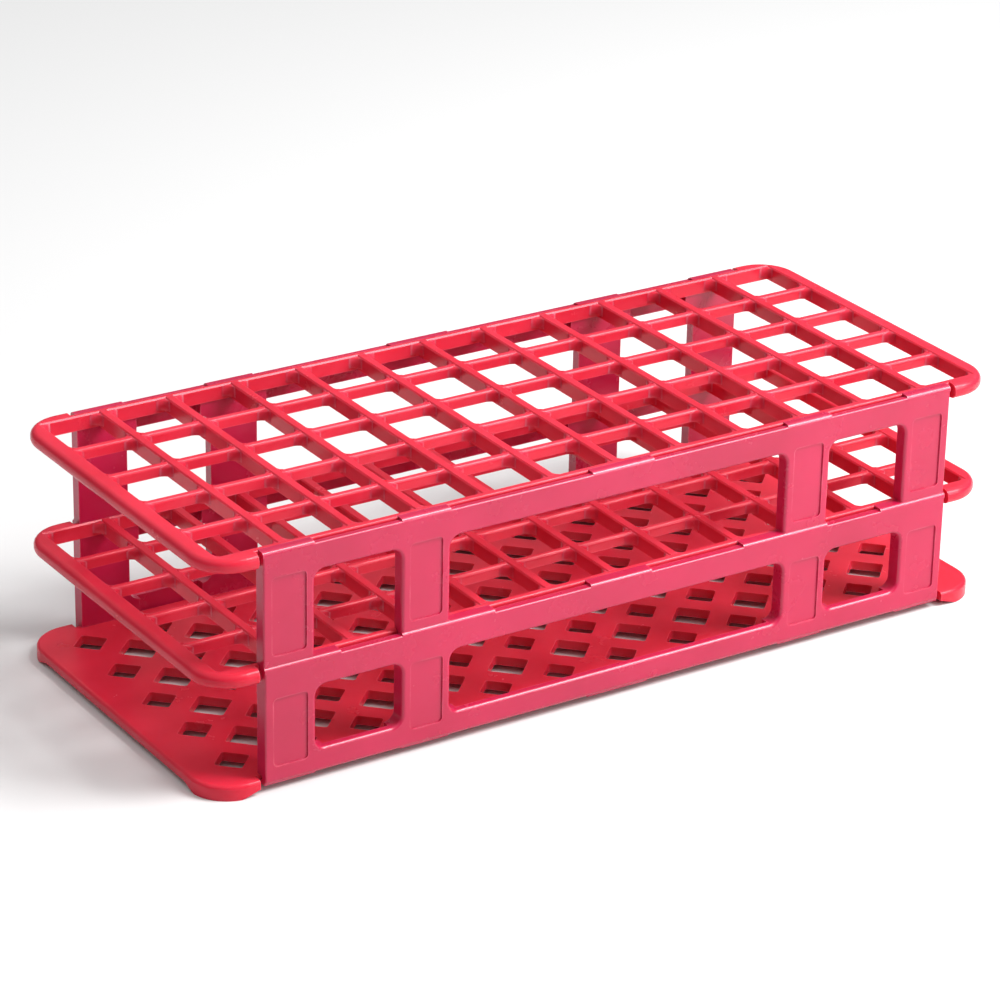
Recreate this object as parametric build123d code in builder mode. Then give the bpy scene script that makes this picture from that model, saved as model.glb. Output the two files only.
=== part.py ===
import os

from build123d import *

os.makedirs("parts", exist_ok=True)

# A snap-together rack for sixty test tubes: three plates held by two side panels.
# Origin: centre of the footprint, on the table. +X along the rack, -Y is the front, +Z up.

# overall sizes
LENGTH = 246.0
WIDTH = 105.0
CORNER_RADIUS = 11.0

# the grid of square wells in the top and middle plates
WELLS_ALONG = 12
WELLS_ACROSS = 5
PITCH_X = 19.9
PITCH_Y = 19.5
CROSS_RIB_WIDTH = 2.8
LONG_RIB_WIDTH = 2.2
LONG_RIB_DROP = 0.2
LONG_RIB_HEIGHT = 3.2
CROWN_ROUND = 1.05
RIB_BEVEL = 0.4
BEVEL_TAPER = -45
WELL_X = PITCH_X - CROSS_RIB_WIDTH
WELL_Y = PITCH_Y - LONG_RIB_WIDTH
GRID_LENGTH = WELLS_ALONG * PITCH_X - CROSS_RIB_WIDTH
GRID_WIDTH = WELLS_ACROSS * PITCH_Y - LONG_RIB_WIDTH

# heights above the table
TOP_PLATE_TOP = 66.6
MIDDLE_PLATE_TOP = 35.1
PLATE_HEIGHT = 4.2
TOP_PLATE_BOTTOM = TOP_PLATE_TOP - PLATE_HEIGHT
MIDDLE_PLATE_BOTTOM = MIDDLE_PLATE_TOP - PLATE_HEIGHT
BASE_TOP = 4.2
BASE_THICKNESS = 2.6
BASE_BOTTOM = BASE_TOP - BASE_THICKNESS
RIM_ROUND = 1.9
BASE_RIM_ROUND = 1.1

# the long edges of the plates step back between the corner ears to take the panels
EDGE_BAR_FACE = 49.6
EDGE_BAR_ROUND = 0.7
EAR_START = 108.6
RECESS_DEPTH = WIDTH / 2 - EDGE_BAR_FACE

# the diamond holes in the base: small under the wells, large between them
SMALL_DIAMOND = 7.4
LARGE_DIAMOND = 9.3
DIAMOND_CORNER = 0.8
DIAMOND_TURN = 45

# the four feet, flush with the corners and ramped on the inside
FOOT_HALF_SPAN = 9.0
FOOT_RAMP = 72.0

# the side panels: the lower half stands slightly proud of the upper half
PANEL_HALF_LENGTH = 107.2
PANEL_BOTTOM = 2.0
PANEL_TOP = 66.0
CROSSBAR_TOP = 34.3
PANEL_INNER = 50.4
LOWER_OUTER = WIDTH / 2
UPPER_OUTER = 51.9
LOWER_SKIN = LOWER_OUTER - PANEL_INNER
UPPER_SKIN = UPPER_OUTER - PANEL_INNER
PILLAR_INNER = 48.2
PILLAR_DEPTH = PANEL_INNER - PILLAR_INNER
PANEL_EDGE_ROUND = 0.5
PANEL_BOTTOM_ROUND = 1.5
WINDOW_EDGE_ROUND = 1.0

# pillars and windows, measured outwards from the middle of the panel
LONG_WINDOW_HALF = 52.7
INNER_PILLAR_END = 67.1
SMALL_WINDOW_END = 92.5
SMALL_WINDOW_WIDTH = SMALL_WINDOW_END - INNER_PILLAR_END
INNER_PILLAR_WIDTH = INNER_PILLAR_END - LONG_WINDOW_HALF
END_PILLAR_WIDTH = PANEL_HALF_LENGTH - SMALL_WINDOW_END
SMALL_WINDOW_X = (INNER_PILLAR_END + SMALL_WINDOW_END) / 2
INNER_PILLAR_X = (LONG_WINDOW_HALF + INNER_PILLAR_END) / 2
END_PILLAR_X = (SMALL_WINDOW_END + PANEL_HALF_LENGTH) / 2
LOWER_SILL = 8.8
LOWER_HEAD = 26.6
UPPER_HEAD = 58.4
WINDOW_CORNER = 3.0

# shallow recessed fields on the faces of the pillars
FIELD_DEPTH = 0.4
FIELD_MARGIN = 2.4
FIELD_CORNER = 1.2
LOWER_FIELD_BOTTOM = 7.0
LOWER_FIELD_TOP = 26.0
UPPER_FIELD_BOTTOM = 37.6
UPPER_FIELD_TOP = 59.2

# the snap lips that hook over the edge bars of the plates, and the tabs under the base
FIT_GAP = 0.1
LIP_THICKNESS = 1.5
LIP_REACH = 49.1
LIP_ROUND = 1.2
LEDGE_ROUND = 1.0
TOP_LIP_TOP = 66.6
MIDDLE_LIP_TOP = 35.0
TAB_THICKNESS = 1.0
NOTCH_FACE = LIP_REACH - FIT_GAP
NOTCH_DEPTH = EDGE_BAR_FACE - NOTCH_FACE
CENTRE_LIP_WIDTH = 19.2
MIDDLE_INNER_LIP_START = 39.3
MIDDLE_END_LIP_START = 85.2

# the planes where each column of wells starts
COLUMN_STARTS = [
    Plane.YZ.offset((column - WELLS_ALONG / 2) * PITCH_X + CROSS_RIB_WIDTH / 2)
    for column in range(WELLS_ALONG)
]

# where the lips and pillars stand along the panel: (centre, width)
PILLARS = [
    (-END_PILLAR_X, END_PILLAR_WIDTH),
    (-INNER_PILLAR_X, INNER_PILLAR_WIDTH),
    (INNER_PILLAR_X, INNER_PILLAR_WIDTH),
    (END_PILLAR_X, END_PILLAR_WIDTH),
]
TIERS = [
    (BASE_TOP, MIDDLE_PLATE_BOTTOM),
    (MIDDLE_PLATE_TOP, TOP_PLATE_BOTTOM),
]
TOP_LIPS = [(0, CENTRE_LIP_WIDTH)] + PILLARS
MIDDLE_INNER_LIP = (
    (MIDDLE_INNER_LIP_START + INNER_PILLAR_END) / 2,
    INNER_PILLAR_END - MIDDLE_INNER_LIP_START,
)
MIDDLE_END_LIP = (
    (MIDDLE_END_LIP_START + PANEL_HALF_LENGTH) / 2,
    PANEL_HALF_LENGTH - MIDDLE_END_LIP_START,
)
MIDDLE_LIPS = [
    (0, CENTRE_LIP_WIDTH),
    (-MIDDLE_INNER_LIP[0], MIDDLE_INNER_LIP[1]),
    MIDDLE_INNER_LIP,
    (-MIDDLE_END_LIP[0], MIDDLE_END_LIP[1]),
    MIDDLE_END_LIP,
]

# The rim that both grid plates share, with its top face at zero: end rims, corner ears and edge bars.
with BuildPart() as plate_rim:
    with BuildSketch(Plane.XY.offset(-PLATE_HEIGHT)):
        RectangleRounded(LENGTH, WIDTH, CORNER_RADIUS)
    extrude(amount=PLATE_HEIGHT)
    levels = plate_rim.edges().group_by(Axis.Z)
    fillet(levels[0] + levels[-1], RIM_ROUND)
    # the long edges step back between the ears
    with BuildSketch(Plane.XY.offset(-PLATE_HEIGHT)):
        with GridLocations(0, 2 * EDGE_BAR_FACE + RECESS_DEPTH, 1, 2):
            Rectangle(2 * EAR_START, RECESS_DEPTH)
    extrude(amount=PLATE_HEIGHT, mode=Mode.SUBTRACT)
    long_edges = plate_rim.edges().filter_by(Axis.X).group_by(Axis.Z)[-1]
    fillet(long_edges.filter_by(lambda e: abs(e.center().Y) < WIDTH / 2 - RIM_ROUND), EDGE_BAR_ROUND)
    # the space that the grid of ribs fills
    with BuildSketch(Plane.XY.offset(-PLATE_HEIGHT)):
        Rectangle(GRID_LENGTH, GRID_WIDTH)
    extrude(amount=PLATE_HEIGHT, mode=Mode.SUBTRACT)
    # bevels around each column of wells
    with BuildSketch(Plane.XY.offset(-RIB_BEVEL)):
        with GridLocations(PITCH_X, 0, WELLS_ALONG, 1):
            Rectangle(WELL_X, GRID_WIDTH)
    extrude(amount=RIB_BEVEL, taper=BEVEL_TAPER, mode=Mode.SUBTRACT)

# The cross ribs of one plate: eleven bars at full height with bevelled top edges.
with BuildPart() as cross_ribs:
    with BuildSketch(Plane.XZ) as cross_profile:
        with Locations((0, -PLATE_HEIGHT / 2)):
            with GridLocations(PITCH_X, 0, WELLS_ALONG - 1, 1):
                Rectangle(CROSS_RIB_WIDTH, PLATE_HEIGHT)
        chamfer(cross_profile.vertices().group_by(Axis.Y)[-1], RIB_BEVEL)
    extrude(amount=GRID_WIDTH / 2, both=True)

# The long ribs of one plate: rounded, slightly lower bars between the cross ribs.
with BuildPart() as long_ribs:
    with BuildSketch(*COLUMN_STARTS) as long_profile:
        with Locations((0, -LONG_RIB_DROP - LONG_RIB_HEIGHT / 2)):
            with GridLocations(PITCH_Y, 0, WELLS_ACROSS - 1, 1):
                Rectangle(LONG_RIB_WIDTH, LONG_RIB_HEIGHT)
        fillet(long_profile.vertices().group_by(Axis.Y)[-1], CROWN_ROUND)
    extrude(amount=WELL_X)

# Top plate: rim with notches in its edge bars for the upper snap lips, and its ribs.
with BuildPart() as top_plate_rim:
    with Locations((0, 0, TOP_PLATE_TOP)):
        add(plate_rim.part)
    with BuildSketch(Plane.XY.offset(TOP_LIP_TOP - LIP_THICKNESS - FIT_GAP)):
        for lip_x, lip_width in TOP_LIPS:
            with Locations((lip_x, 0)):
                with GridLocations(0, 2 * NOTCH_FACE + NOTCH_DEPTH, 1, 2):
                    Rectangle(lip_width + 2 * FIT_GAP, NOTCH_DEPTH)
    extrude(amount=TOP_PLATE_TOP, mode=Mode.SUBTRACT)

with BuildPart() as top_plate_cross_ribs:
    with Locations((0, 0, TOP_PLATE_TOP)):
        add(cross_ribs.part)

with BuildPart() as top_plate_long_ribs:
    with Locations((0, 0, TOP_PLATE_TOP)):
        add(long_ribs.part)

# Middle plate: the same moulding, notched for the wider middle lips.
with BuildPart() as middle_plate_rim:
    with Locations((0, 0, MIDDLE_PLATE_TOP)):
        add(plate_rim.part)
    with BuildSketch(Plane.XY.offset(MIDDLE_LIP_TOP - LIP_THICKNESS - FIT_GAP)):
        for lip_x, lip_width in MIDDLE_LIPS:
            with Locations((lip_x, 0)):
                with GridLocations(0, 2 * NOTCH_FACE + NOTCH_DEPTH, 1, 2):
                    Rectangle(lip_width + 2 * FIT_GAP, NOTCH_DEPTH)
    extrude(amount=TOP_PLATE_TOP, mode=Mode.SUBTRACT)

with BuildPart() as middle_plate_cross_ribs:
    with Locations((0, 0, MIDDLE_PLATE_TOP)):
        add(cross_ribs.part)

with BuildPart() as middle_plate_long_ribs:
    with Locations((0, 0, MIDDLE_PLATE_TOP)):
        add(long_ribs.part)

# Base plate: a flat sheet with a diamond lattice, standing on four ramped corner feet.
with BuildPart() as base_plate:
    with BuildSketch():
        with GridLocations(LENGTH, WIDTH, 2, 2):
            Rectangle(2 * FOOT_HALF_SPAN, 2 * FOOT_HALF_SPAN)
    extrude(amount=BASE_BOTTOM, taper=-FOOT_RAMP)
    with BuildSketch():
        RectangleRounded(LENGTH, WIDTH, CORNER_RADIUS)
    extrude(amount=BASE_BOTTOM, mode=Mode.INTERSECT)
    with BuildSketch(Plane.XY.offset(BASE_BOTTOM)):
        RectangleRounded(LENGTH, WIDTH, CORNER_RADIUS)
    extrude(amount=BASE_THICKNESS)
    fillet(base_plate.faces().sort_by(Axis.Z)[-1].edges(), BASE_RIM_ROUND)
    with BuildSketch(Plane.XY):
        with GridLocations(0, 2 * EDGE_BAR_FACE + RECESS_DEPTH, 1, 2):
            Rectangle(2 * EAR_START, RECESS_DEPTH)
    extrude(amount=BASE_TOP, mode=Mode.SUBTRACT)
    with BuildSketch():
        with GridLocations(PITCH_X, PITCH_Y, WELLS_ALONG, WELLS_ACROSS):
            RectangleRounded(SMALL_DIAMOND, SMALL_DIAMOND, DIAMOND_CORNER, rotation=DIAMOND_TURN)
        with GridLocations(PITCH_X, PITCH_Y, WELLS_ALONG - 1, WELLS_ACROSS - 1):
            RectangleRounded(LARGE_DIAMOND, LARGE_DIAMOND, DIAMOND_CORNER, rotation=DIAMOND_TURN)
    extrude(amount=BASE_TOP, mode=Mode.SUBTRACT)
    # rebates under the edges for the tabs of the panels
    with BuildSketch():
        for tab_x, tab_width in TOP_LIPS:
            with Locations((tab_x, 0)):
                with GridLocations(0, 2 * NOTCH_FACE + NOTCH_DEPTH, 1, 2):
                    Rectangle(tab_width + 2 * FIT_GAP, NOTCH_DEPTH)
    extrude(amount=PANEL_BOTTOM + TAB_THICKNESS + FIT_GAP, mode=Mode.SUBTRACT)

# Front panel: a thin skin with six windows, deep pillars between the plates, and snap lips.
with BuildPart() as front_panel:
    # the upper half
    with BuildSketch(Plane.XZ.offset(PANEL_INNER)):
        with Locations((0, (CROSSBAR_TOP + PANEL_TOP) / 2)):
            Rectangle(2 * PANEL_HALF_LENGTH, PANEL_TOP - CROSSBAR_TOP)
    extrude(amount=UPPER_SKIN)
    # the lower half, standing proud
    with BuildSketch(Plane.XZ.offset(PANEL_INNER)):
        with Locations((0, (PANEL_BOTTOM + CROSSBAR_TOP) / 2)):
            Rectangle(2 * PANEL_HALF_LENGTH, CROSSBAR_TOP - PANEL_BOTTOM)
    extrude(amount=LOWER_SKIN)
    # the deep pillars stand between the plates
    for floor, ceiling in TIERS:
        with BuildSketch(Plane.XZ.offset(PILLAR_INNER)):
            with Locations((0, (floor + ceiling) / 2)):
                for pillar_x, pillar_width in PILLARS:
                    with Locations((pillar_x, 0)):
                        Rectangle(pillar_width + 2 * WINDOW_CORNER, ceiling - floor)
        extrude(amount=PILLAR_DEPTH)
    # trim the deep parts back to the ends of the panel
    with BuildSketch(Plane.XY):
        Rectangle(2 * PANEL_HALF_LENGTH, 2 * WIDTH)
    extrude(amount=TOP_PLATE_TOP, mode=Mode.INTERSECT)
    # the windows of the lower half
    with BuildSketch(Plane.XZ.offset(PILLAR_INNER)):
        with Locations((0, (LOWER_SILL + LOWER_HEAD) / 2)):
            RectangleRounded(2 * LONG_WINDOW_HALF, LOWER_HEAD - LOWER_SILL, WINDOW_CORNER)
            with GridLocations(2 * SMALL_WINDOW_X, 0, 2, 1):
                RectangleRounded(SMALL_WINDOW_WIDTH, LOWER_HEAD - LOWER_SILL, WINDOW_CORNER)
    extrude(amount=WIDTH, mode=Mode.SUBTRACT)
    # the windows of the upper half, open down to the crossbar
    with BuildSketch(Plane.XZ.offset(PILLAR_INNER)):
        with Locations((0, (CROSSBAR_TOP + UPPER_HEAD) / 2)):
            RectangleRounded(2 * LONG_WINDOW_HALF, UPPER_HEAD - CROSSBAR_TOP, WINDOW_CORNER)
            with GridLocations(2 * SMALL_WINDOW_X, 0, 2, 1):
                RectangleRounded(SMALL_WINDOW_WIDTH, UPPER_HEAD - CROSSBAR_TOP, WINDOW_CORNER)
        with Locations((0, CROSSBAR_TOP + WINDOW_CORNER)):
            Rectangle(2 * LONG_WINDOW_HALF, 2 * WINDOW_CORNER)
            with GridLocations(2 * SMALL_WINDOW_X, 0, 2, 1):
                Rectangle(SMALL_WINDOW_WIDTH, 2 * WINDOW_CORNER)
    extrude(amount=WIDTH, mode=Mode.SUBTRACT)
    # round the outer edges of the windows and of the panel, most of all along the bottom
    lower_face = front_panel.faces().filter_by(Axis.Y).sort_by(Axis.Y)[0]
    fillet([edge for loop in lower_face.inner_wires() for edge in loop.edges()], WINDOW_EDGE_ROUND)
    lower_face = front_panel.faces().filter_by(Axis.Y).sort_by(Axis.Y)[0]
    fillet(lower_face.outer_wire().edges().sort_by(Axis.Z)[0], PANEL_BOTTOM_ROUND)
    lower_face = front_panel.faces().filter_by(Axis.Y).sort_by(Axis.Y)[0]
    fillet(lower_face.outer_wire().edges().sort_by(Axis.Z)[1:], PANEL_EDGE_ROUND)
    upper_face = front_panel.faces().filter_by(Axis.Y).group_by(Axis.Y)[1]
    upper_edges = upper_face.edges().filter_by(lambda e: e.center().Z > CROSSBAR_TOP + FIT_GAP)
    window_edges = upper_edges.filter_by(
        lambda e: abs(e.center().X) < SMALL_WINDOW_END + FIT_GAP and e.center().Z < UPPER_HEAD + FIT_GAP
    )
    fillet(window_edges, WINDOW_EDGE_ROUND)
    upper_face = front_panel.faces().filter_by(Axis.Y).group_by(Axis.Y)[1]
    outline_edges = upper_face.edges().filter_by(
        lambda e: abs(e.center().X) > PANEL_HALF_LENGTH - FIT_GAP or e.center().Z > PANEL_TOP - FIT_GAP
    )
    fillet(outline_edges, PANEL_EDGE_ROUND)
    # the recessed fields on the pillars
    with BuildSketch(Plane.XZ.offset(UPPER_OUTER - FIELD_DEPTH)):
        with Locations((0, (UPPER_FIELD_BOTTOM + UPPER_FIELD_TOP) / 2)):
            for pillar_x, pillar_width in PILLARS:
                with Locations((pillar_x, 0)):
                    RectangleRounded(
                        pillar_width - 2 * FIELD_MARGIN,
                        UPPER_FIELD_TOP - UPPER_FIELD_BOTTOM,
                        FIELD_CORNER,
                    )
    extrude(amount=FIELD_DEPTH, mode=Mode.SUBTRACT)
    with BuildSketch(Plane.XZ.offset(LOWER_OUTER - FIELD_DEPTH)):
        with Locations((0, (LOWER_FIELD_BOTTOM + LOWER_FIELD_TOP) / 2)):
            for pillar_x, pillar_width in PILLARS:
                with Locations((pillar_x, 0)):
                    RectangleRounded(
                        pillar_width - 2 * FIELD_MARGIN,
                        LOWER_FIELD_TOP - LOWER_FIELD_BOTTOM,
                        FIELD_CORNER,
                    )
    extrude(amount=FIELD_DEPTH, mode=Mode.SUBTRACT)
    # the lips over the top plate, rounded along their outer edge
    for lip_x, lip_width in TOP_LIPS:
        with BuildSketch(Plane.YZ.offset(lip_x - lip_width / 2)) as lip_profile:
            with Locations((-(UPPER_OUTER + LIP_REACH) / 2, TOP_LIP_TOP - LIP_THICKNESS / 2)):
                Rectangle(UPPER_OUTER - LIP_REACH, LIP_THICKNESS)
            fillet(lip_profile.vertices().group_by(Axis.Y)[-1].sort_by(Axis.X)[0], LIP_ROUND)
        extrude(amount=lip_width)
    # the lips over the middle plate, wider and standing out with the lower half
    for lip_x, lip_width in MIDDLE_LIPS:
        with BuildSketch(Plane.YZ.offset(lip_x - lip_width / 2)) as ledge_profile:
            with Locations((-(LOWER_OUTER + LIP_REACH) / 2, MIDDLE_LIP_TOP - LIP_THICKNESS / 2)):
                Rectangle(LOWER_OUTER - LIP_REACH, LIP_THICKNESS)
            fillet(ledge_profile.vertices().group_by(Axis.Y)[-1].sort_by(Axis.X)[0], LEDGE_ROUND)
        extrude(amount=lip_width)
    # at the pillars those lips run up into the pillar
    with BuildSketch(Plane.XY.offset(MIDDLE_LIP_TOP)):
        for pillar_x, pillar_width in PILLARS:
            with Locations((pillar_x, -(UPPER_OUTER + LIP_REACH) / 2)):
                Rectangle(pillar_width, UPPER_OUTER - LIP_REACH)
    extrude(amount=MIDDLE_PLATE_TOP - MIDDLE_LIP_TOP)
    # the tabs under the base
    with BuildSketch(Plane.XY.offset(PANEL_BOTTOM)):
        for lip_x, lip_width in TOP_LIPS:
            with Locations((lip_x, -(UPPER_OUTER + LIP_REACH) / 2)):
                Rectangle(lip_width, UPPER_OUTER - LIP_REACH)
    extrude(amount=TAB_THICKNESS)

# Rear panel: the same moulding turned to face the other way.
with BuildPart() as rear_panel:
    with Locations(Rotation(0, 0, 180)):
        add(front_panel.part)

top_plate_rim.part.label = "top_plate_rim"
top_plate_cross_ribs.part.label = "top_plate_cross_ribs"
top_plate_long_ribs.part.label = "top_plate_long_ribs"
middle_plate_rim.part.label = "middle_plate_rim"
middle_plate_cross_ribs.part.label = "middle_plate_cross_ribs"
middle_plate_long_ribs.part.label = "middle_plate_long_ribs"
base_plate.part.label = "base_plate"
front_panel.part.label = "front_panel"
rear_panel.part.label = "rear_panel"

export_step(top_plate_rim.part, "parts/top_plate_rim.step")
export_step(top_plate_cross_ribs.part, "parts/top_plate_cross_ribs.step")
export_step(top_plate_long_ribs.part, "parts/top_plate_long_ribs.step")
export_step(middle_plate_rim.part, "parts/middle_plate_rim.step")
export_step(middle_plate_cross_ribs.part, "parts/middle_plate_cross_ribs.step")
export_step(middle_plate_long_ribs.part, "parts/middle_plate_long_ribs.step")
export_step(base_plate.part, "parts/base_plate.step")
export_step(front_panel.part, "parts/front_panel.step")
export_step(rear_panel.part, "parts/rear_panel.step")
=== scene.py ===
import math

import bmesh
import bpy
from mathutils import Matrix, Vector


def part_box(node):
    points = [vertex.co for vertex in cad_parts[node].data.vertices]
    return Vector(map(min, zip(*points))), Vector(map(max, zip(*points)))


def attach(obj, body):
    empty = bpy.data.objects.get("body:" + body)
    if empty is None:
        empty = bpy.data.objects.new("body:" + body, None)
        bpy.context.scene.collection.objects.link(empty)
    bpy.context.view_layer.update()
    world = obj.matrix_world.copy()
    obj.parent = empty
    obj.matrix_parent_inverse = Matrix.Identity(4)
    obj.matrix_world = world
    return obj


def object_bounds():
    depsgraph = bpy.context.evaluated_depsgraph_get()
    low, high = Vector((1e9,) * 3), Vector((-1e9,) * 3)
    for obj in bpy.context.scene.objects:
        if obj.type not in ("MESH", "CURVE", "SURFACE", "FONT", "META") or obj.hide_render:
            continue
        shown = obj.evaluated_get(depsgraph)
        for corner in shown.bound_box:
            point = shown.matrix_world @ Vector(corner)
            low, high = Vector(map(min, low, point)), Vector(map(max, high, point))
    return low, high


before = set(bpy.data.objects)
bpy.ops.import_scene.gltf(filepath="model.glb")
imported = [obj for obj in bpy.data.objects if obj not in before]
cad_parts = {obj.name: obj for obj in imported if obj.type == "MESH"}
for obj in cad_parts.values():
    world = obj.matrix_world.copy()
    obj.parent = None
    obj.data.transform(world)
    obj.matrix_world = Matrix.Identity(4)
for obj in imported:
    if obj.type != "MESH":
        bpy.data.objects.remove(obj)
cad_low, cad_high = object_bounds()

MM = 0.001

# the grid of wells, as the part has it
WELLS_ALONG = 12
WELLS_ACROSS = 5
PITCH_X = 19.9 * MM
PITCH_Y = 19.5 * MM
WELL_X = 17.1 * MM
WELL_Y = 17.3 * MM

# the rounded corners of the wells: how far below the plate's top they meet each kind of rib
CORNER_ROUND = 3.0 * MM
CORNER_SINK = 0.05 * MM
CORNER_TOP = 0.30 * MM
AT_CROSS_RIB = 0.45 * MM
AT_LONG_RIB = 1.2 * MM
LONG_RIB_UNDERSIDE = 3.4 * MM
ARC_STEPS = 7
TOP_RINGS = 3

# clouds in the colour of the plastic
CLOUD_SCALE = 28.0
CLOUD_LOW = 0.3
CLOUD_HIGH = 0.72

# painted highlight: paler patches along the edges stand in for light caught on the rounded edges; how
# far from an edge they reach, and how far the surface has to turn there
HIGHLIGHT_WIDTH = 0.6 * MM
HIGHLIGHT_STRENGTH = 0.45
HIGHLIGHT_SCALE = 140.0
HIGHLIGHT_LOW = 0.35
HIGHLIGHT_HIGH = 0.7
SHARPLY_TURNED = 0.80
HARDLY_TURNED = 0.985
BEVEL_SAMPLES = 4

# fine moulded grain, and faint flow marks drawn out along the rack
GRAIN_STRENGTH = 0.16
GRAIN_DEPTH = 0.04 * MM
FLOW_SCALE = (22.0, 60.0, 60.0)
FLOW_STRENGTH = 0.25
FLOW_DEPTH = 0.12 * MM

# patches that are glossier or duller than the rest
GLOSS_SCALE = 90.0
GLOSSIER = 0.05
DULLER = 0.09

# light that spreads inside the plastic, by red, green and blue, and the skin on top
SCATTER_SHARES = (1.0, 0.12, 0.16)
SCATTER_DEPTH = 2.2 * MM
SKIN_ROUGHNESS = 0.22

# sockets of a Mix node that is set to colours
MIX_A = 6
MIX_B = 7
MIX_RESULT = 2

BLACK = (0, 0, 0)
WHITE = (1, 1, 1)

FLOOR_SIZE = 8.0
FLOOR_COLOUR = (0.71, 0.71, 0.71)
FLOOR_ROUGHNESS = 0.8

# soft studio light: a room that is bright overhead and dim at the horizon
HORIZON = 0.14
OVERHEAD = 0.97
DIM_BELOW = 0.35
BRIGHT_ABOVE = 0.8
LIGHT_TARGET = Vector((0, 0, 0.03))

# camera at the photograph's angle
CAMERA_PLACE = Vector((-0.54446, -0.82966, 0.48178))
CAMERA_AZIMUTH = math.radians(-33.056)
CAMERA_ELEVATION = math.radians(24.163)
CAMERA_ROLL = math.radians(1.185)
CAMERA_LENS = 144.20
CAMERA_SENSOR = 36.0
CAMERA_NEAR = 0.05
CAMERA_FAR = 20.0


def node_tree(name):
    material = bpy.data.materials.new(name)
    material.use_nodes = True
    tree = material.node_tree
    tree.nodes.clear()
    return material, tree


def add(tree, kind, values=None, **settings):
    node = tree.nodes.new(kind)
    for key, value in settings.items():
        setattr(node, key, value)
    for key, value in (values or {}).items():
        node.inputs[key].default_value = value
    return node


def ramp(tree, source, *stops):
    """A colour ramp with two stops, each a place on the ramp and its colour."""
    node = add(tree, "ShaderNodeValToRGB")
    for element, (place, colour) in zip(node.color_ramp.elements, stops):
        element.position = place
        element.color = (*colour, 1)
    tree.links.new(source, node.inputs["Fac"])
    return node.outputs["Color"]


def noise(tree, where, scale, detail, roughness):
    values = {"Scale": scale, "Detail": detail, "Roughness": roughness}
    node = add(tree, "ShaderNodeTexNoise", values)
    tree.links.new(where, node.inputs["Vector"])
    return node.outputs["Fac"]


def painted_edge_highlight(tree, place):
    """Painted highlight: up to the set strength on blotchy patches of the edges, 0 on the flat faces.
    """
    links = tree.links
    bevel = add(tree, "ShaderNodeBevel", {"Radius": HIGHLIGHT_WIDTH}, samples=BEVEL_SAMPLES)
    shape = add(tree, "ShaderNodeNewGeometry")
    turned = add(tree, "ShaderNodeVectorMath", operation="DOT_PRODUCT")
    links.new(bevel.outputs["Normal"], turned.inputs[0])
    links.new(shape.outputs["Normal"], turned.inputs[1])
    edge = ramp(tree, turned.outputs["Value"], (SHARPLY_TURNED, WHITE), (HARDLY_TURNED, BLACK))
    blotches = noise(tree, place, HIGHLIGHT_SCALE, detail=3.0, roughness=0.6)
    patches = ramp(tree, blotches, (HIGHLIGHT_LOW, BLACK), (HIGHLIGHT_HIGH, WHITE))
    highlighted_edges = add(tree, "ShaderNodeMix", {"Factor": 1.0}, data_type="RGBA", blend_type="MULTIPLY")
    links.new(edge, highlighted_edges.inputs[MIX_A])
    links.new(patches, highlighted_edges.inputs[MIX_B])
    strength = add(tree, "ShaderNodeMath", {1: HIGHLIGHT_STRENGTH}, operation="MULTIPLY")
    links.new(highlighted_edges.outputs[MIX_RESULT], strength.inputs[0])
    return strength.outputs["Value"]


def moulded_relief(tree, place, grain):
    """Fine grain with the flow marks over it, as a normal."""
    links = tree.links
    fine = add(tree, "ShaderNodeBump", {"Strength": GRAIN_STRENGTH, "Distance": GRAIN_DEPTH})
    links.new(noise(tree, place, grain, detail=2.0, roughness=0.6), fine.inputs["Height"])
    stretch = add(tree, "ShaderNodeMapping", {"Scale": FLOW_SCALE})
    links.new(place, stretch.inputs["Vector"])
    streaks = noise(tree, stretch.outputs["Vector"], scale=1.0, detail=2.0, roughness=0.5)
    flow = add(tree, "ShaderNodeBump", {"Strength": FLOW_STRENGTH, "Distance": FLOW_DEPTH})
    links.new(streaks, flow.inputs["Height"])
    links.new(fine.outputs["Normal"], flow.inputs["Normal"])
    return flow.outputs["Normal"]


def moulded_plastic(name, deep, plain, highlight_colour, roughness, grain, subsurface, specular, tint, coat, ior):
    """Satin polypropylene: cloudy colour, fine moulded grain, paler edges as a painted highlight."""
    material, tree = node_tree(name)
    links = tree.links
    place = add(tree, "ShaderNodeTexCoord").outputs["Object"]
    clouds = noise(tree, place, CLOUD_SCALE, detail=4.0, roughness=0.55)
    # the cloudy colour, with the paler edge colour mixed in as a painted highlight
    paint = add(tree, "ShaderNodeMix", {MIX_B: (*highlight_colour, 1)}, data_type="RGBA")
    links.new(painted_edge_highlight(tree, place), paint.inputs["Factor"])
    links.new(ramp(tree, clouds, (CLOUD_LOW, deep), (CLOUD_HIGH, plain)), paint.inputs[MIX_A])
    limits = {"To Min": roughness - GLOSSIER, "To Max": roughness + DULLER}
    gloss = add(tree, "ShaderNodeMapRange", limits)
    links.new(noise(tree, place, GLOSS_SCALE, detail=4.0, roughness=0.6), gloss.inputs["Value"])
    finish = {
        "IOR": ior,
        "Specular IOR Level": specular,
        "Specular Tint": (*tint, 1),
        "Subsurface Weight": subsurface,
        "Subsurface Radius": SCATTER_SHARES,
        "Subsurface Scale": SCATTER_DEPTH,
        "Coat Weight": coat,
        "Coat Roughness": SKIN_ROUGHNESS,
    }
    shader = add(tree, "ShaderNodeBsdfPrincipled", finish)
    links.new(paint.outputs[MIX_RESULT], shader.inputs["Base Color"])
    links.new(gloss.outputs["Result"], shader.inputs["Roughness"])
    links.new(moulded_relief(tree, place, grain), shader.inputs["Normal"])
    out = add(tree, "ShaderNodeOutputMaterial")
    links.new(shader.outputs["BSDF"], out.inputs["Surface"])
    return material


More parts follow.
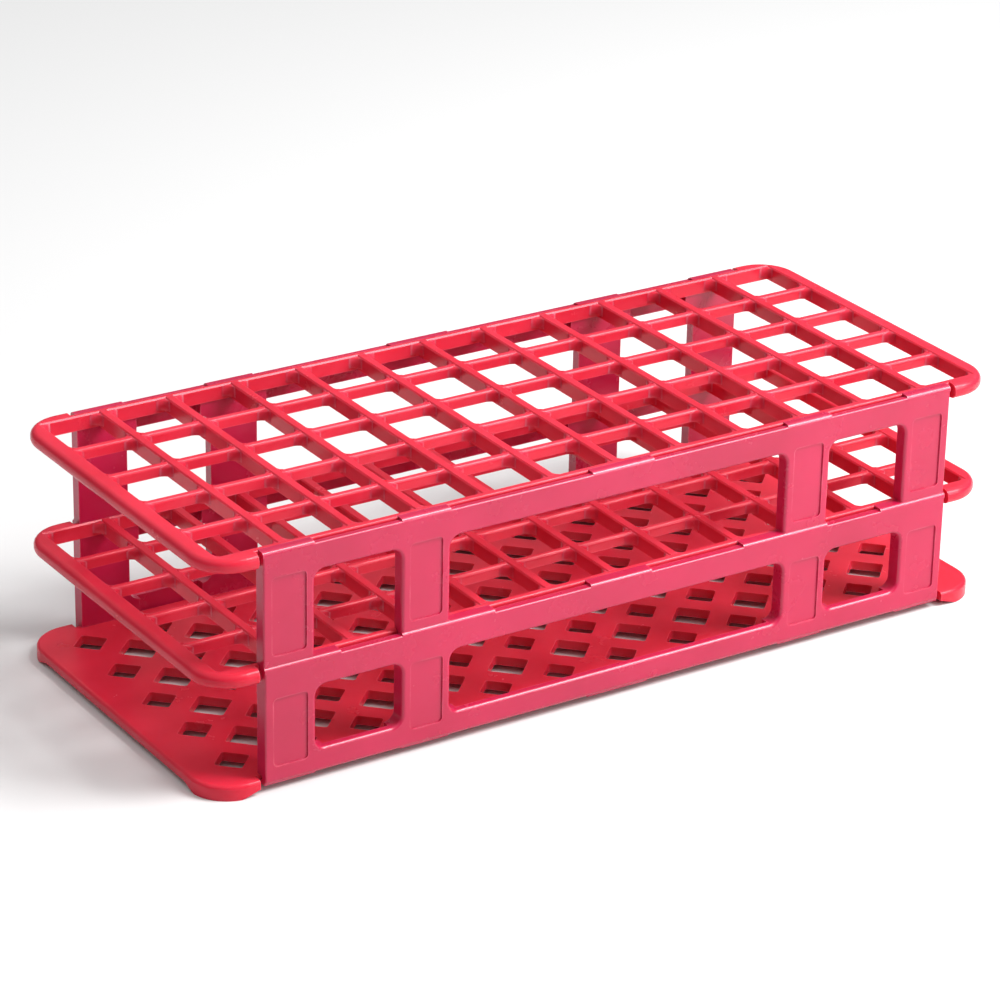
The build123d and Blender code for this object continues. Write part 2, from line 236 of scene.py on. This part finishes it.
def well_corner(mesh, middle_x, middle_y, side_x, side_y, top, long_side_drop):
    """One rounded corner of a well: an arc wall, a soft top rising into the ribs, a flat underside."""
    centre_x = middle_x + side_x * (WELL_X / 2 - CORNER_ROUND)
    centre_y = middle_y + side_y * (WELL_Y / 2 - CORNER_ROUND)
    reach = CORNER_ROUND + CORNER_SINK
    corner = Vector((centre_x + side_x * reach, centre_y + side_y * reach, top - CORNER_TOP))
    edge = []
    for step in range(ARC_STEPS + 1):
        share = step / ARC_STEPS
        turn = math.pi / 2 * share
        bulge_x = reach if step == 0 else CORNER_ROUND * math.cos(turn)
        bulge_y = reach if step == ARC_STEPS else CORNER_ROUND * math.sin(turn)
        drop = AT_CROSS_RIB + (long_side_drop - AT_CROSS_RIB) * share
        edge.append(Vector((centre_x + side_x * bulge_x, centre_y + side_y * bulge_y, top - drop)))
    peak = mesh.verts.new(corner)
    rings = []
    for ring in range(1, TOP_RINGS + 1):
        share = ring / TOP_RINGS
        line = []
        for point in edge:
            place = corner.lerp(point, share)
            place.z = corner.z + (point.z - corner.z) * share**2
            line.append(mesh.verts.new(place))
        rings.append(line)
    underside = top - LONG_RIB_UNDERSIDE
    foot = [mesh.verts.new((point.x, point.y, underside)) for point in edge]
    post = mesh.verts.new((corner.x, corner.y, underside))
    faces = []
    for i in range(ARC_STEPS):
        faces.append(mesh.faces.new((peak, rings[0][i], rings[0][i + 1])))
        for low, high in zip(rings, rings[1:]):
            faces.append(mesh.faces.new((low[i], high[i], high[i + 1], low[i + 1])))
        faces.append(mesh.faces.new((rings[-1][i], foot[i], foot[i + 1], rings[-1][i + 1])))
    for face in faces:
        face.smooth = True
    mesh.faces.new([post] + foot)
    for end in (0, ARC_STEPS):
        mesh.faces.new([peak] + [line[end] for line in rings] + [foot[end], post])


def well_corners(name, top, material):
    """The rounded corners of every well of one grid plate, as one mesh that sits between the ribs."""
    mesh = bmesh.new()
    for column in range(WELLS_ALONG):
        for row in range(WELLS_ACROSS):
            middle_x = (column - (WELLS_ALONG - 1) / 2) * PITCH_X
            middle_y = (row - (WELLS_ACROSS - 1) / 2) * PITCH_Y
            for side_y in (-1, 1):
                at_rim = row + side_y in (-1, WELLS_ACROSS)
                drop = AT_CROSS_RIB if at_rim else AT_LONG_RIB
                for side_x in (-1, 1):
                    well_corner(mesh, middle_x, middle_y, side_x, side_y, top, drop)
    bmesh.ops.recalc_face_normals(mesh, faces=mesh.faces)
    # the flat faces inside the ribs and underneath keep their shading apart from the rounded ones
    for edge in mesh.edges:
        edge.smooth = all(face.smooth for face in edge.link_faces)
    data = bpy.data.meshes.new(name)
    mesh.to_mesh(data)
    mesh.free()
    data.materials.append(material)
    piece = bpy.data.objects.new(name, data)
    bpy.context.scene.collection.objects.link(piece)
    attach(piece, "root")


def softbox(name, place, width, length, watts):
    data = bpy.data.lights.new(name, "AREA")
    data.shape = "RECTANGLE"
    data.size = width
    data.size_y = length
    data.energy = watts
    lamp = bpy.data.objects.new(name, data)
    lamp.location = place
    lamp.rotation_euler = (LIGHT_TARGET - Vector(place)).to_track_quat("-Z", "Y").to_euler()
    bpy.context.scene.collection.objects.link(lamp)


# materials
plate_plastic = moulded_plastic(
    "plate_plastic",
    deep=(0.57, 0.015, 0.038),
    plain=(0.71, 0.031, 0.064),
    # paler edge colour: a painted highlight
    highlight_colour=(0.84, 0.20, 0.27),
    roughness=0.23,
    grain=2600.0,
    subsurface=0.45,
    specular=0.46,
    tint=(1.0, 0.70, 0.75),
    coat=0.0,
    ior=1.40,
)
# the panels are the same plastic as the plates; their darker, pinker base colour is painted shade and
# sheen, making up for the stronger light that falls on the upright panel faces
panel_plastic = moulded_plastic(
    "panel_plastic",
    deep=(0.42, 0.008, 0.048),
    plain=(0.54, 0.011, 0.068),
    # paler edge colour: a painted highlight
    highlight_colour=(0.86, 0.24, 0.34),
    roughness=0.24,
    grain=3200.0,
    subsurface=0.20,
    specular=0.62,
    tint=(1.0, 0.80, 0.86),
    coat=0.10,
    ior=1.49,
)
for name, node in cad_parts.items():
    material = panel_plastic if name.endswith("_panel") else plate_plastic
    for material_slot in node.material_slots:
        material_slot.material = material

# rounded corners of the wells
for plate in ("top_plate", "middle_plate"):
    plate_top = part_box(plate + "_rim")[1].z
    well_corners(plate + "_well_corners", plate_top, plate_plastic)

# floor
bpy.ops.mesh.primitive_plane_add(size=FLOOR_SIZE, location=(0, 0, cad_low.z))
floor = bpy.context.active_object
floor.name = "floor"
paper, tree = node_tree("paper")
matt = {"Base Color": (*FLOOR_COLOUR, 1), "Roughness": FLOOR_ROUGHNESS}
shader = add(tree, "ShaderNodeBsdfPrincipled", matt)
out = add(tree, "ShaderNodeOutputMaterial")
tree.links.new(shader.outputs["BSDF"], out.inputs["Surface"])
floor.data.materials.append(paper)

# studio light
world = bpy.data.worlds.new("studio")
bpy.context.scene.world = world
world.use_nodes = True
sky = world.node_tree
direction = add(sky, "ShaderNodeTexCoord").outputs["Generated"]
upward = add(sky, "ShaderNodeSeparateXYZ")
sky.links.new(direction, upward.inputs["Vector"])
limits = {"From Min": DIM_BELOW, "From Max": BRIGHT_ABOVE, "To Min": HORIZON, "To Max": OVERHEAD}
glow = add(sky, "ShaderNodeMapRange", limits)
sky.links.new(upward.outputs["Z"], glow.inputs["Value"])
background = sky.nodes["Background"]
background.inputs["Color"].default_value = (*WHITE, 1)
sky.links.new(glow.outputs["Result"], background.inputs["Strength"])
softbox("key", place=(0.55, -0.45, 0.85), width=0.38, length=0.62, watts=16.5)
softbox("front", place=(0.70, -0.95, 0.45), width=0.5, length=0.35, watts=4.9)

# camera
back = Vector(
    (
        math.sin(CAMERA_AZIMUTH) * math.cos(CAMERA_ELEVATION),
        -math.cos(CAMERA_AZIMUTH) * math.cos(CAMERA_ELEVATION),
        math.sin(CAMERA_ELEVATION),
    )
)
roll = Matrix.Rotation(CAMERA_ROLL, 3, back).to_quaternion()
camera_data = bpy.data.cameras.new("camera")
camera_data.lens = CAMERA_LENS
camera_data.sensor_width = CAMERA_SENSOR
camera_data.clip_start = CAMERA_NEAR
camera_data.clip_end = CAMERA_FAR
camera = bpy.data.objects.new("camera", camera_data)
camera.rotation_mode = "QUATERNION"
camera.rotation_quaternion = roll @ (-back).to_track_quat("-Z", "Y")
camera.location = CAMERA_PLACE
bpy.context.scene.collection.objects.link(camera)
bpy.context.scene.camera = camera

bpy.context.scene.view_settings.view_transform = "Standard"
